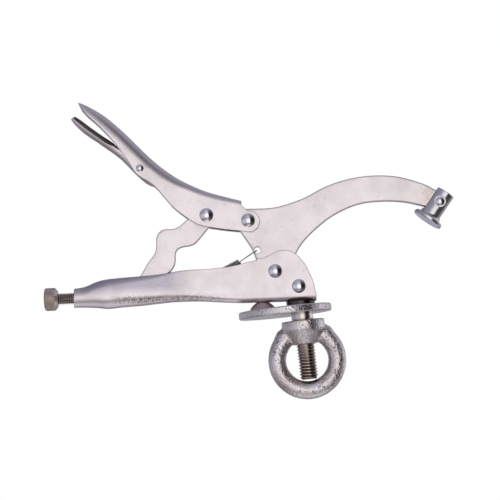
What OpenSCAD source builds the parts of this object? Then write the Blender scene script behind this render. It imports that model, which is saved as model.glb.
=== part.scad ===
// Bench hold-down clamp: a pair of locking pliers on a round base with a threaded stud and an eye nut.
// Units are millimetres. The origin is on the stud's axis in the plane of the base disc's underside.
// +Z is up along the stud, +X runs from the handles to the swivel pad, and the pliers lie in the XZ plane.
// Sizes of the pliers are measured from the jaw pivot, in the plane of the handles.

/* [Pivots] */
// Rivet between the upper jaw and the movable handle, behind the jaw pivot
handle_pivot_x = -18.6; // [-20:0.1:-17]
// The same rivet, above the jaw pivot
handle_pivot_y = 35; // [34:0.1:36.5]
// Rivet of the toggle link, behind the handle rivet
link_pivot_x = -28.7; // [-30:0.1:-27]
// The same rivet, above the handle rivet
link_pivot_y = 3.6; // [2.5:0.1:4.5]
// Rivet of the release lever, behind the handle rivet
lever_pivot_x = -74.6; // [-76:0.1:-73]
// The same rivet, above the handle rivet
lever_pivot_y = 35.9; // [35:0.1:36.5]
// Front rivet that holds the stud, ahead of the jaw pivot
front_pivot_x = 16.2; // [15.5:0.1:17]
// The same rivet, below the jaw pivot
front_pivot_y = -10.3; // [-11:0.1:-10]
// Length of the stud from the front rivet to the underside of the disc
stud_drop = 18.7; // [18.7:0.1:20]
// Lean of the pliers against the base disc, in degrees
lean = 6.5; // [4:0.1:8]

/* [Sheet steel] */
// Thickness of the pressed steel of both handles
sheet_t = 2.4; // [2:0.1:2.6]
// Thickness of the pressed steel of the release lever
lever_t = 1.6; // [1.2:0.1:1.8]
// Gap between a cheek and the flat piece that turns inside it
side_gap = 0.25; // [0.2:0.05:0.4]
// Width of both handles where they are held in the hand
grip_w = 15.8; // [15:0.1:18]
// Depth of the fixed handle where it is held in the hand
grip_h = 20; // [19:0.1:22]
// Outer diameter of the tube that carries the adjusting screw
tube_d = 13; // [12.6:0.1:14]
// Width of the release lever
lever_w = 9.6; // [8:0.1:10]
// Roll of the release lever's tail towards the front side, in degrees
lever_roll = 17; // [0:1:20]

/* [Upper jaw] */
// Thickness of the flat forged jaw
jaw_t = 7; // [6:0.1:8]
// Rounding of the jaw's long edges
jaw_edge = 1.2; // [0.5:0.1:2]
// Distance of the pad's pivot ahead of the jaw pivot
reach = 113.3; // [105:0.1:125]
// Height of the pad's pivot above the jaw pivot
rise = 48; // [42:0.1:54]
// Radius of the jaw's round end inside the pad
jaw_end_r = 6.2; // [5.5:0.1:6.4]
// Depth of the jaw at the middle of its arm
arm_depth = 18.2; // [15:0.1:21]
// Diameter of the jaw's hole for the spring
spring_hole_d = 4.6; // [4:0.1:5]

/* [Toggle link] */
// Thickness of the link
link_t = 6; // [5:0.1:6.8]
// Radius of the link's end at its rivet
link_eye_r = 7.4; // [6.5:0.1:8]
// Radius of the link's round foot, which pushes on the screw
foot_r = 4.6; // [4:0.1:5]
// Place of the foot behind the jaw pivot
foot_x = -104.3; // [-105:0.1:-103]
// Place of the foot below the jaw pivot
foot_y = -16.1; // [-16.6:0.1:-15.6]

/* [Rivets] */
// Diameter of the four large rivets
rivet_d = 6.4; // [5.5:0.1:7]
// Diameter of a large rivet's domed head
rivet_head_d = 9.6; // [9:0.1:11]
// Height of a large rivet's domed head
rivet_head_h = 2; // [1.5:0.1:2.5]
// Diameter of the lever's rivet
lever_rivet_d = 3.6; // [3:0.1:4]
// Diameter of the pad's rivet
pad_rivet_d = 4.4; // [4:0.1:5]
// Running clearance around a rivet, a screw or the stud, on the radius
fit = 0.06; // [0.03:0.01:0.1]

/* [Adjusting screw] */
// Diameter of the screw's thread
screw_d = 8; // [7.5:0.1:8.4]
// Length of thread that shows behind the handle
screw_out = 11.4; // [8:0.1:16]
// Diameter of the knurled knob
knob_d = 15.8; // [14:0.1:18]
// Length of the knurled knob
knob_l = 9.2; // [8:0.1:11]
// Play between the screw's tip and the link's foot
foot_play = 2.4; // [2.3:0.1:3]

/* [Base disc and stud] */
// Diameter of the disc
disc_d = 64; // [60:0.5:70]
// Thickness of the disc
disc_t = 5; // [4:0.1:5.4]
// Distance of the disc's centre behind the stud
disc_back = 11.3; // [9:0.1:14]
// Diameter of the stud's shoulder, which centres the disc
shoulder_d = 15; // [14:0.1:15.4]
// Length of the shoulder below the disc
shoulder_l = 4.1; // [3:0.1:4.3]
// Diameter of the collar above the disc
collar_d = 19.6; // [18:0.1:21]
// Diameter of the stud's thread
stud_d = 12.7; // [12:0.1:13.2]
// Length of the stud below the disc
stud_l = 45.3; // [42:0.1:46]
// Distance of the rest button's middle from the disc's rear edge
button_inset = 16.8; // [15:0.1:18]
// Diameter of the rest button at the disc
button_d = 18.5; // [16:0.1:20]

/* [Eye nut] */
// Outer diameter of the nut's ring
ring_d = 53.6; // [52:0.1:58]
// Thickness of the ring's round bar
ring_bar = 12.4; // [11:0.1:12.6]
// Diameter of the nut's collar
nut_d = 29.6; // [27:0.1:31]
// Distance of the nut's top below the disc
nut_drop = 4.8; // [4.4:0.1:6]
// Height of the nut's threaded part
nut_h = 16.6; // [15:0.1:18]
// Gap between the stud's end and the ring
stud_gap = 1.3; // [0.9:0.1:3]

/* [Swivel pad] */
// Diameter of the pad's slotted body
pad_d = 14.8; // [14:0.1:16.5]
// Diameter of the pad's flange
flange_d = 21.4; // [19:0.1:24]
// Thickness of the flange
flange_t = 3; // [2.5:0.1:4]
// Distance from the pad's pivot to its face
pad_foot = 15.4; // [15:0.1:17]
// Distance from the pad's pivot to the top of its body
pad_head = 7.9; // [6.5:0.1:8.5]
// Lean of the pad against the handles' plane as it hangs, in degrees
pad_lean = 34.5; // [33.5:0.5:36]

/* [Tension spring] */
// Outer diameter of the coil
coil_d = 5.1; // [4.6:0.1:5.4]
// Thickness of the wire
wire_d = 1; // [0.8:0.05:1.1]
// Distance from one turn to the next
coil_pitch = 1.16; // [1.12:0.01:1.3]

/* [Hidden] */
// Corners of a full circle
$fn = 64;
// Points of a curve between two given points
fine = 3;
// Steps of a rounded edge or corner
edge_steps = 2;
corner_steps = 4;
// Small overlap of a cut past a face
over = 1;

handle_pivot = [handle_pivot_x, handle_pivot_y];
link_pivot = handle_pivot + [link_pivot_x, link_pivot_y];
lever_pivot = handle_pivot + [lever_pivot_x, lever_pivot_y];
front_pivot = [front_pivot_x, front_pivot_y];
pad_pivot = [reach, rise];
foot = [foot_x, foot_y];
base = front_pivot + stud_drop * [sin(lean), -cos(lean)];

// Outer widths of the flat cheeks
cheek_w = jaw_t + 2 * side_gap + 2 * sheet_t;
flat_corner = sheet_t + 1.2;

// The fixed handle's underside is straight ahead of the grip
under_slope = 1.75;
under_y = -20.5;
nose_x = 28.2;

// The screw runs through the middle of the tube
screw_slope = 2.5;
tube_x = -138.2;
tube_y = -18.5;
screw_tip = foot[0] - foot_r - foot_play - tube_x;
screw_r = screw_d / 2;

thread_end = 1.6;
seat_d = shoulder_d + 0.4;
nut_chamfer = 0.5;
// The ring's centre below the nut's top
eye_drop = stud_l + stud_gap - nut_drop - ring_d / 2 + ring_bar;
// The bore passes through the collar and the ring's upper side
bore_l = max(nut_h, eye_drop - ring_d / 2 + ring_bar);
disc_edge = 0.7;
button_back = disc_back + disc_d / 2 - button_inset;

coil_r = (coil_d - wire_d) / 2;
coil_front = [-24.4, 6.6];
coil_slope = 28;
spring_hole = [-12.2, 14.7];
tab_place = [-61.2, -13.2];
tab_w = 4.6;
coil_axis = [-cos(coil_slope), -sin(coil_slope)];
coil_l = norm(tab_place - coil_front) - 6;
coil_turns = floor(coil_l / coil_pitch);

STEEL = [0.80, 0.78, 0.79];
BRIGHT = [0.88, 0.88, 0.90];
BROWNED = [0.58, 0.53, 0.48];
CAST = [0.62, 0.58, 0.55];
DARK = [0.36, 0.36, 0.38];

// Curves

function unit(v) = v / norm(v);

function between(a, b, c, d, t) =
    0.5 * (2 * b + (c - a) * t + (2 * a - 5 * b + 4 * c - d) * t * t
           + (3 * b - a - 3 * c + d) * t * t * t);

// A smooth curve through rows of numbers of any length
function smooth(p, n = fine) =
    [for (i = [0:len(p) - 2]) for (k = [0:n - 1])
        between(p[max(i - 1, 0)], p[i], p[i + 1], p[min(i + 2, len(p) - 1)], k / n),
     p[len(p) - 1]];

function arc(c, r, a0, a1, n) =
    [for (i = [0:n]) let (a = a0 + (a1 - a0) * i / n) c + r * [cos(a), sin(a)]];

// An outline drawn in by a distance, for rounded edges; the outline runs counter-clockwise
function drawn_in(p, d) =
    [for (i = [0:len(p) - 1])
        let (t = unit(p[(i + 1) % len(p)] - p[(i + len(p) - 1) % len(p)]))
        p[i] + d * [-t[1], t[0]]];

// Triangles that fill an outline, cut off one ear at a time

function turn_of(a, b, c) = (b[0] - a[0]) * (c[1] - a[1]) - (b[1] - a[1]) * (c[0] - a[0]);

function holds(p, a, b, c) = turn_of(a, b, p) >= 0 && turn_of(b, c, p) >= 0 && turn_of(c, a, p) >= 0;

function is_ear(p, left, i) =
    let (n = len(left), a = left[(i + n - 1) % n], b = left[i], c = left[(i + 1) % n])
    turn_of(p[a], p[b], p[c]) > 1e-9
        && len([for (k = left) if (k != a && k != b && k != c && holds(p[k], p[a], p[b], p[c])) 1]) == 0;

function first_ear(p, left, i = 0) = i >= len(left) ? 0 : is_ear(p, left, i) ? i : first_ear(p, left, i + 1);

function ears(p, left, done = []) =
    len(left) == 3 ? concat(done, [left])
    : let (n = len(left), e = first_ear(p, left))
      ears(p, [for (k = [0:n - 1]) if (k != e) left[k]],
           concat(done, [[left[(e + n - 1) % n], left[e], left[(e + 1) % n]]]));

// Triangles between the outer and the inner half of a channel's ring
function ring_ends(n) =
    [for (i = [0:n / 2 - 2]) each [[i, i + 1, n - 1 - i], [i + 1, n - 2 - i, n - 1 - i]]];

// Solids through rings of points, closed by the given triangles, or by a flat face where there are none

module loft(rings, ends = []) {
    n = len(rings[0]);
    last = len(rings) - 1;
    first_end = len(ends) > 0 ? ends : [[for (i = [0:n - 1]) i]];
    polyhedron(
        [for (r = rings) for (p = r) p],
        concat(
            first_end,
            [for (k = [0:last - 1]) for (i = [0:n - 1])
                let (a = k * n + i, b = k * n + (i + 1) % n)
                each [[a, a + n, b], [b, a + n, b + n]]],
            [for (f = first_end) [for (i = [len(f) - 1:-1:0]) last * n + f[i]]]));
}

// A flat plate of an outline, centred on the plane, with both long edges rounded
module rounded_plate(outline, t, r) {
    levels = concat(
        [for (i = [edge_steps:-1:0]) [r * (1 - cos(90 * i / edge_steps)),
                                      -t / 2 + r - r * sin(90 * i / edge_steps)]],
        [for (i = [0:edge_steps]) [r * (1 - cos(90 * i / edge_steps)),
                                   t / 2 - r + r * sin(90 * i / edge_steps)]]);
    top = drawn_in(outline, levels[len(levels) - 1][0]);
    loft([for (l = reversed(levels)) [for (p = drawn_in(outline, l[0])) [p[0], p[1], l[1]]]],
         ears(top, [for (i = [0:len(top) - 1]) i]));
}

// One half of a pressed channel's section, from the lip to the back, as [depth, side]
function half_section(depth, w, corner, lip, curl, inset) =
    concat(
        [for (i = [0:corner_steps]) let (a = curl * (1 - i / corner_steps))
            [depth - lip * sin(curl) + (lip - inset) * sin(a),
             w / 2 - lip + (lip - inset) * cos(a)]],
        [for (i = [0:corner_steps]) let (a = 90 * i / corner_steps)
            [corner - (corner - inset) * sin(a),
             w / 2 - corner + (corner - inset) * cos(a)]]);

function mirrored(p) = [for (i = [len(p) - 1:-1:0]) [p[i][0], -p[i][1]]];
function reversed(p) = [for (i = [len(p) - 1:-1:0]) p[i]];

// A station is [back x, back y, lip x, lip y, width, corner radius, lip radius, curl, roll]
function channel_ring(s, t) =
    let (back = [s[0], s[1], 0],
         deep = [s[2] - s[0], s[3] - s[1], 0],
         depth = norm(deep),
         d0 = deep / depth,
         side0 = [0, 0, 1],
         d = d0 * cos(s[8]) - side0 * sin(s[8]),
         side = side0 * cos(s[8]) + d0 * sin(s[8]),
         outer = half_section(depth, s[4], s[5], s[6], s[7], 0),
         inner = half_section(depth, s[4], s[5], s[6], s[7], t),
         loop = concat(outer, mirrored(outer), reversed(mirrored(inner)), reversed(inner)))
    [for (p = loop) back + d * p[0] + side * p[1]];

module channel(stations, t, turned = false) {
    rings = [for (s = smooth(stations)) channel_ring(s, t)];
    loft(turned ? reversed(rings) : rings, ring_ends(len(rings[0])));
}

// A round wire along a path
function tangents(p) =
    [for (i = [0:len(p) - 1]) unit(p[min(i + 1, len(p) - 1)] - p[max(i - 1, 0)])];

function carried(t, first) =
    [for (i = 0, n = unit(first - (first * t[0]) * t[0]); i < len(t); i = i + 1,
          n = let (u = t[min(i, len(t) - 1)]) unit(n - (n * u) * u)) n];

module wire(path, r, sides, first) {
    t = tangents(path);
    n = carried(t, first);
    loft([for (i = [0:len(path) - 1])
        [for (k = [0:sides - 1]) let (a = -360 * k / sides)
            path[i] + r * (cos(a) * n[i] + sin(a) * cross(t[i], n[i]))]]);
}

// Places

// The handles' plane as the XZ plane, with the jaw pivot at its origin
module pliers() {
    rotate([0, lean, 0]) translate([-base[0], 0, -base[1]]) children();
}

// The same plane lying flat, for outlines
module flat() {
    pliers() rotate([90, 0, 0]) children();
}

module at_pivot(p) {
    flat() translate([p[0], p[1], 0]) children();
}

// A bore across the pliers
module cross_bore(p, r) {
    translate([p[0], p[1], 0]) cylinder(r = r, h = 4 * grip_w, center = true);
}

// All that lies above the fixed handle's underside
module above_underside(gap) {
    pliers() translate([front_pivot_x, 0, under_y - gap]) rotate([0, -under_slope, 0])
        translate([-2 * disc_d, -disc_d, 0]) cube([4 * disc_d, 2 * disc_d, disc_d]);
}

// Rivets and turned pieces

module dome(r, h) {
    ball = (r * r + h * h) / (2 * h);
    intersection() {
        translate([0, 0, h - ball]) sphere(r = ball);
        cylinder(r = r, h = h);
    }
}

module rivet(d, head_d, head_h, grip) {
    cylinder(d = d, h = grip, center = true);
    for (s = [0, 1]) mirror([0, 0, s]) translate([0, 0, grip / 2]) dome(head_d / 2, head_h);
}

module large_rivet(p, grip = cheek_w) {
    at_pivot(p) rivet(rivet_d, rivet_head_d, rivet_head_h, grip);
}

// Fixed handle

function under(x) = under_y + (x - front_pivot_x) * tan(under_slope);

FIXED = [
    [-138.2, -25.0, -138.2, -12.0, tube_d, tube_d / 2 - 0.3, tube_d / 2 - 0.3, 68, 0],
    [-130.5, -24.9, -131.0, -10.8, tube_d + 0.4, tube_d / 2 - 0.2, tube_d / 2, 66, 0],
    [-122.0, -25.2, -123.0, -7.4, grip_w - 1.2, 7.1, 7.1, 60, 0],
    [-114.5, -5.8 - grip_h, -116.0, -5.8, grip_w - 0.2, 7.6, 7.5, 50, 0],
    [-104.5, -4.7 - grip_h, -105.5, -4.7, grip_w, 7.6, 7.5, 44, 0],
    [-92.0, -3.7 - grip_h, -93.0, -3.7, grip_w - 0.2, 7.4, 7.2, 36, 0],
    [-79.5, -2.2 - grip_h, -80.5, -2.6, grip_w - 0.8, 6.8, 6.4, 26, 0],
    [-67.5, -21.0, -68.2, -0.4, grip_w - 1.8, 5.8, 5.4, 14, 0],
    [-51.5, -20.6, -51.8, 1.9, cheek_w + 0.7, 4.4, 4.4, 10, 0],
    [-35.0, -21.3, -35.2, 3.7, cheek_w, flat_corner, flat_corner, 8, 0],
    [-22.0, under(-22.0), -22.4, 6.1, cheek_w, flat_corner, flat_corner, 8, 0],
    [-12.5, under(-12.5), -12.8, 7.8, cheek_w, flat_corner, flat_corner, 8, 0],
    [-7.5, under(-7.5), -7.5, 15.0, cheek_w, flat_corner, flat_corner, 8, 0],
    [nose_x + over, under(nose_x + over), nose_x + over, 17.5, cheek_w, flat_corner, flat_corner, 8, 0],
];

// The cheeks' top edge rises over the jaw pivot and falls to the nose
NOSE = smooth([
    [-13.2, 10.4], [-11.6, 8.8], [-9.0, 8.7], [-4.0, 10.9], [2.0, 13.9], [8.2, 14.3], [14.2, 11.9],
    [20.5, 4.6], [25.7, -6.1], [nose_x - 0.7, -13.0],
]);

module fixed_handle() color(STEEL) flat() {
    difference() {
        channel(FIXED, sheet_t);
        // nose and top edge of the cheeks
        translate([0, 0, -grip_w]) linear_extrude(2 * grip_w)
            polygon(concat(NOSE, [[nose_x, -16.5], [nose_x, -30], [60, -30], [60, 60], [-14, 60]]));
        for (p = [[0, 0], front_pivot]) cross_bore(p, rivet_d / 2 + fit);
        // opening in the floor for the stud's tang
        rotate([-90, 0, 0]) pliers_to_stud()
            cube([shoulder_d + 0.6, jaw_t + 0.2, 60], center = true);
    }
    // lanced tab in the floor, which the spring hooks on
    difference() {
        translate([tab_place[0] - sheet_t / 2, under_y + 0.9, -tab_w / 2])
            cube([sheet_t, tab_place[1] + 2.3 - under_y, tab_w]);
        translate([tab_place[0], tab_place[1], 0]) rotate([0, 90, 0])
            cylinder(d = 1.8, h = 4 * sheet_t, center = true);
    }
}

// From the handles' plane, as XZ, back to the stud's own frame
module pliers_to_stud() {
    translate([base[0], 0, base[1]]) rotate([0, -lean, 0]) children();
}

// Upper jaw

JAW = concat(
    arc(handle_pivot, 8.4, 100, 200, 6),
    smooth([
        [-23.9, 27.2], [-17.5, 17.7], [-15.0, 13.2], [-12.8, 7.0],
    ]),
    arc([0, 0], 9, 190, 330, 7),
    smooth([
        [14.3, 12.1], [18.8, 19.6], [27.1, 28.4], [39.5, 38.3], [56.1, 64.3 - arm_depth],
        pad_pivot + [-40.6, 0.5], pad_pivot + [-24.1, -0.1], pad_pivot + [-10.6, -3.1],
    ]),
    arc(pad_pivot, jaw_end_r, -80, 65, 6),
    smooth([
        pad_pivot + [-4.8, 9.4], pad_pivot + [-11.7, 12.8], pad_pivot + [-28.2, 17.5],
        pad_pivot + [-44.8, 18.4], [52, 64.3], [35.4, 59.0], [18.8, 50.3], [2.3, 44.8], [-8.0, 43.5],
    ]));

module upper_jaw() color(STEEL) flat() difference() {
    rounded_plate(JAW, jaw_t, jaw_edge);
    for (p = [[0, 0], handle_pivot]) cross_bore(p, rivet_d / 2 + fit);
    cross_bore(pad_pivot, pad_rivet_d / 2 + fit);
    cross_bore(spring_hole, spring_hole_d / 2);
}

// Movable handle, from its tail to past its front, as offsets from the handle rivet

function hp(x, y) = handle_pivot + [x, y];

MOVABLE = [
    concat(hp(-118.3, 82.7), hp(-115.9, 77.2), [grip_w - 6.6, 3.8, 2.8, 8, 0]),
    concat(hp(-115.6, 81.8), hp(-114.0, 75.2), [grip_w - 3.2, 4.8, 3.6, 8, 0]),
    concat(hp(-109.0, 78.6), hp(-111.4, 72.6), [grip_w - 1, 5.6, 4, 10, 0]),
    concat(hp(-99.2, 72.6), hp(-104.0, 66.2), [grip_w, 7.0, 4.4, 8, 0]),
    concat(hp(-86.8, 62.1), hp(-93.5, 55.1), [grip_w, 7.4, 4.4, 8, 0]),
    concat(hp(-74.4, 49.9), hp(-83.0, 41.3), [grip_w, 7.5, 4.4, 8, 0]),
    concat(hp(-66.1, 42.1), hp(-76.6, 31.6), [grip_w, 7.5, 4.4, 8, 0]),
    concat(hp(-57.8, 35.4), hp(-65.5, 24.5), [grip_w - 0.4, 7.2, 4.4, 8, 0]),
    concat(hp(-49.5, 29.8), hp(-57.1, 15.2), [grip_w - 1.6, 6.4, 4.4, 8, 0]),
    concat(hp(-41.3, 25.5), hp(-49.9, 7.5), [cheek_w + 0.5, 5.4, 4.4, 8, 0]),
    concat(hp(-28.8, 20.2), hp(-35.2, -2.5), [cheek_w, 4.6, 4.4, 8, 0]),
    concat(hp(-16.4, 16.7), hp(-21.2, -5.6), [cheek_w, 4.2, 4.4, 8, 0]),
    concat(hp(-5.7, 14.0), hp(-7.1, -7.2), [cheek_w, flat_corner, 4.4, 8, 0]),
    concat(hp(9.5, 10.7), hp(9.5, -8.6), [cheek_w, flat_corner, 4.4, 8, 0]),
];

module movable_handle() color(STEEL) flat() difference() {
    channel(MOVABLE, sheet_t, true);
    // the back ends behind the jaw, and the cheeks are round about the rivet
    translate([0, 0, -grip_w]) linear_extrude(2 * grip_w)
        polygon(concat(
            [hp(-4.8, 40), hp(-4.8, 10.9), hp(-4.2, 9.7), hp(-3.0, 8.9)],
            arc(handle_pivot + [0.6, -0.7], 7.4, 97, -86, 12),
            [hp(-0.5, -8.7), hp(-2.5, -40), hp(40, -40), hp(40, 40)]));
    cross_bore(handle_pivot, rivet_d / 2 + fit);
    cross_bore(link_pivot, rivet_d / 2 + fit);
    cross_bore(lever_pivot, lever_rivet_d / 2 + fit);
}

// Toggle link: its hump meets the release lever's nose when the pliers are locked

LINK = concat(
    arc(link_pivot, link_eye_r, 120, -45, 7),
    smooth([
        [-46.4, 29.6], [-51.7, 23.0], [-55.3, 19.2], [-59.0, 17.6], [-63.4, 16.9], [-67.0, 15.3],
        [-68.6, 12.0], [-68.7, 6.8], [-70.2, 2.4], [-75.0, -2.9], [-84.0, -10.4], foot + [9.0, -0.6],
    ]),
    arc(foot, foot_r, -60, -235, 6),
    smooth([
        foot + [4.8, 6.0], [-92.8, -3.0], [-88.6, 4.2], [-84.6, 10.0], [-82.6, 13.2], [-82.0, 18.2],
        [-82.0, 23.2], [-79.8, 27.2], [-76.2, 29.1], [-70.6, 29.3], [-66.4, 31.0], [-61.2, 35.4],
    ]));

module toggle_link() color(STEEL) flat() difference() {
    rounded_plate(reversed(LINK), link_t, 0.8);
    cross_bore(link_pivot, rivet_d / 2 + fit);
}

// Release lever: a shallow trough, as offsets from its own rivet

function lp(x, y) = lever_pivot + [x, y];

LEVER = [
    concat(lp(-48.3, 35.0), lp(-46.8, 36.9), [lever_w - 4.2, 1.8, 1.9, 10, lever_roll]),
    concat(lp(-46.6, 32.4), lp(-44.8, 35.3), [lever_w - 2.2, 2.6, 2.4, 10, lever_roll]),
    concat(lp(-44.2, 29.8), lp(-42.0, 33.0), [lever_w - 1, 3, 2.8, 10, lever_roll]),
    concat(lp(-39.0, 24.9), lp(-36.4, 28.4), [lever_w, 3.4, 2.8, 10, lever_roll]),
    concat(lp(-29.0, 18.2), lp(-26.9, 21.9), [lever_w, 3.4, 2.8, 10, lever_roll]),
    concat(lp(-20.4, 12.4), lp(-17.7, 15.8), [lever_w, 3.4, 2.8, 8, lever_roll * 0.7]),
    concat(lp(-12.2, 5.6), lp(-9.0, 9.5), [lever_w, 3.4, 2.8, 6, lever_roll / 4]),
    concat(lp(-4.6, -2.2), lp(0.9, 4.6), [lever_w, 3.4, 2.8, 5, 0]),
    concat(lp(2.0, -8.3), lp(7.0, 0.0), [lever_w, 3.4, 2.8, 5, 0]),
    concat(lp(6.6, -11.2), lp(10.2, -5.0), [lever_w - 0.4, 3.4, 2.8, 5, 0]),
    concat(lp(11.6, -13.0), lp(13.0, -8.6), [lever_w - 2.4, 2.8, 2.6, 5, 0]),
];

module release_lever() color(STEEL) flat() difference() {
    channel(LEVER, lever_t);
    cross_bore(lever_pivot, lever_rivet_d / 2 + fit);
}

// Adjusting screw: the knob's knurl and the thread's grooves are finer than this model

module adjusting_screw() color(BROWNED) pliers()
    translate([tube_x, 0, tube_y]) rotate([0, -screw_slope, 0]) rotate([0, 90, 0])
    rotate_extrude() polygon([
        [0, -screw_out - knob_l], [knob_d / 2 - 1.4, -screw_out - knob_l],
        [knob_d / 2, -screw_out - knob_l + 0.8], [knob_d / 2, -screw_out - 1.9],
        [knob_d / 2 - 2.2, -screw_out], [screw_r, -screw_out], [screw_r, screw_tip - 1],
        [screw_r - 1, screw_tip], [0, screw_tip],
    ]);

// Tension spring: its front hook goes through the jaw, and its rear hook over the tab

function spring_point(a, along) =
    let (c = coil_front + coil_axis * along, up = [-coil_axis[1], coil_axis[0]])
    [c[0] + coil_r * cos(a) * up[0], c[1] + coil_r * cos(a) * up[1], coil_r * sin(a)];

module tension_spring() {
    coil_end = coil_front + coil_axis * coil_turns * coil_pitch;
    front_z = jaw_t / 2 + wire_d / 2 + 0.15;
    path = concat(
        [[spring_hole[0] - 0.6, spring_hole[1] - 0.4, -0.6],
         [spring_hole[0] - 0.7, spring_hole[1] - 0.5, front_z - 1.2]],
        [[spring_hole[0] - 1.4, spring_hole[1] - 1.0, front_z - 0.2],
         [spring_hole[0] - 3.0, spring_hole[1] - 2.0, front_z],
         [spring_hole[0] - 7.0, spring_hole[1] - 4.6, front_z - 0.5]],
        [for (i = [0:coil_turns * 8]) spring_point(90 + 45 * i, coil_pitch * i / 8)],
        [[coil_end[0] - 1.4, coil_end[1] - 0.8, 0.8],
         [tab_place[0] + 1.6, tab_place[1] + 0.2, 0],
         [tab_place[0] - sheet_t / 2 - 0.6, tab_place[1], 0]]);
    color(BROWNED) flat() wire(path, wire_d / 2, 6, [0.3, 1, 0.1]);
}

// Rivets

module jaw_pivot_rivet() color(BRIGHT) large_rivet([0, 0]);
module front_rivet() color(BRIGHT) large_rivet(front_pivot);
module handle_rivet() color(BRIGHT) large_rivet(handle_pivot);
module link_rivet() color(BRIGHT) large_rivet(link_pivot, cheek_w + 0.4);

module lever_rivet() color(BRIGHT)
    at_pivot(lever_pivot) rivet(lever_rivet_d, lever_rivet_d + 1.8, 1.2, grip_w + 0.1);

module pad_rivet() color(BRIGHT)
    at_pivot(pad_pivot) rivet(pad_rivet_d, pad_rivet_d + 2.2, 1.3, pad_d - 2.2);

// Swivel pad: a turned cup with a slot for the jaw's end

module swivel_pad() color(BRIGHT) pliers() translate([reach, 0, rise]) rotate([0, pad_lean, 0])
    difference() {
        rotate_extrude() polygon(concat(
            [[0, -pad_foot], [flange_d / 2 - 0.5, -pad_foot], [flange_d / 2, -pad_foot + 0.5],
             [flange_d / 2, -pad_foot + flange_t - 0.8], [flange_d / 2 - 0.8, -pad_foot + flange_t]],
            arc([pad_d / 2 + 2, -pad_foot + flange_t + 2], 2, -90, -180, 6),
            [[pad_d / 2, pad_head - 0.3], [pad_d / 2 - 0.3, pad_head], [0, pad_head]]));
        translate([-flange_d, -jaw_t / 2 - side_gap, -9.7])
            cube([2 * flange_d, jaw_t + 2 * side_gap, pad_foot + pad_head]);
        // seats for the rivet's heads
        for (s = [0, 1]) mirror([0, s, 0]) translate([0, pad_d / 2 - 1.1, 0]) rotate([-90, 0, 0])
            cylinder(d = pad_rivet_d + 3.6, h = pad_d);
        rotate([90, 0, 0]) cylinder(r = pad_rivet_d / 2 + fit, h = 2 * pad_d, center = true);
    }

// Base disc

module base_disc() color(CAST) difference() {
    translate([-disc_back, 0, 0]) rotate_extrude() polygon([
        [0, 0], [disc_d / 2 - disc_edge, 0], [disc_d / 2, disc_edge], [disc_d / 2, disc_t - disc_edge],
        [disc_d / 2 - disc_edge, disc_t], [0, disc_t],
    ]);
    translate([0, 0, -over]) cylinder(r = seat_d / 2 + fit, h = disc_t + 2 * over);
    translate([-button_back, 0, disc_t - 3]) cylinder(r = 3 + fit, h = 3 + over);
}

// Mounting stud: a flat tang between the cheeks, a collar, a shoulder and a thread

module mounting_stud() color(BROWNED) {
    translate([0, 0, -stud_l]) cylinder(d1 = stud_d - 2 * thread_end, d2 = stud_d, h = thread_end);
    translate([0, 0, -stud_l + thread_end])
        cylinder(d = stud_d, h = stud_l - thread_end - shoulder_l + 0.01);
    translate([0, 0, -shoulder_l]) cylinder(d = shoulder_d, h = shoulder_l + 0.01);
    cylinder(d = seat_d, h = disc_t + 0.01);
    difference() {
        translate([0, 0, disc_t]) cylinder(d = collar_d, h = 2 * disc_t);
        above_underside(0.05);
    }
    difference() {
        union() {
            translate([-shoulder_d / 2, -jaw_t / 2, disc_t])
                cube([shoulder_d, jaw_t, stud_drop - disc_t]);
            translate([0, 0, stud_drop]) rotate([90, 0, 0])
                cylinder(d = shoulder_d, h = jaw_t, center = true);
        }
        translate([0, 0, stud_drop]) rotate([90, 0, 0])
            cylinder(r = rivet_d / 2 + fit, h = 2 * jaw_t, center = true);
    }
}

// Rest button: holds the handle's underside off the disc behind the stud

module rest_button() color(DARK) difference() {
    translate([-button_back, 0, 0]) {
        translate([0, 0, disc_t - 2.8]) cylinder(r = 3, h = 3);
        translate([0, 0, disc_t]) dome(button_d / 2, 6.4);
    }
    above_underside(0.05);
}

// Eye nut: a cast ring with a threaded collar

module eye_nut() color(CAST) translate([0, 0, -nut_drop]) difference() {
    union() {
        rotate_extrude() polygon([
            [0, 0], [nut_d / 2 - nut_chamfer, 0], [nut_d / 2, -nut_chamfer], [nut_d / 2, -6.5],
            [nut_d / 2 - 4.4, -nut_h + 3.2], [nut_d / 2 - 6.8, -nut_h], [0, -nut_h],
        ]);
        // shoulders, where the collar runs out into the ring
        for (s = [0, 1]) mirror([s, 0, 0]) translate([14, 0, 17 - eye_drop]) {
            sphere(r = ring_bar / 2 - 0.1);
            rotate([0, 151.6, 0]) cylinder(r = ring_bar / 2 - 0.15, h = 11.4);
        }
        translate([0, 0, -eye_drop]) rotate([90, 0, 0]) difference() {
            rotate_extrude() translate([ring_d / 2 - ring_bar / 2, 0]) circle(d = ring_bar, $fn = 40);
            translate([0, 1.5 * ring_d / 2 + eye_drop - ring_bar / 2, 0]) cube(1.5 * ring_d, center = true);
        }
    }
    translate([0, 0, -bore_l - over]) cylinder(r = stud_d / 2 + fit, h = bore_l + 2 * over);
}

fixed_handle();
upper_jaw();
movable_handle();
toggle_link();
release_lever();
adjusting_screw();
tension_spring();
jaw_pivot_rivet();
front_rivet();
handle_rivet();
link_rivet();
lever_rivet();
swivel_pad();
pad_rivet();
base_disc();
mounting_stud();
rest_button();
eye_nut();
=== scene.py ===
import math

import bmesh
import bpy
from mathutils import Matrix, Vector, noise
from mathutils.bvhtree import BVHTree


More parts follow.
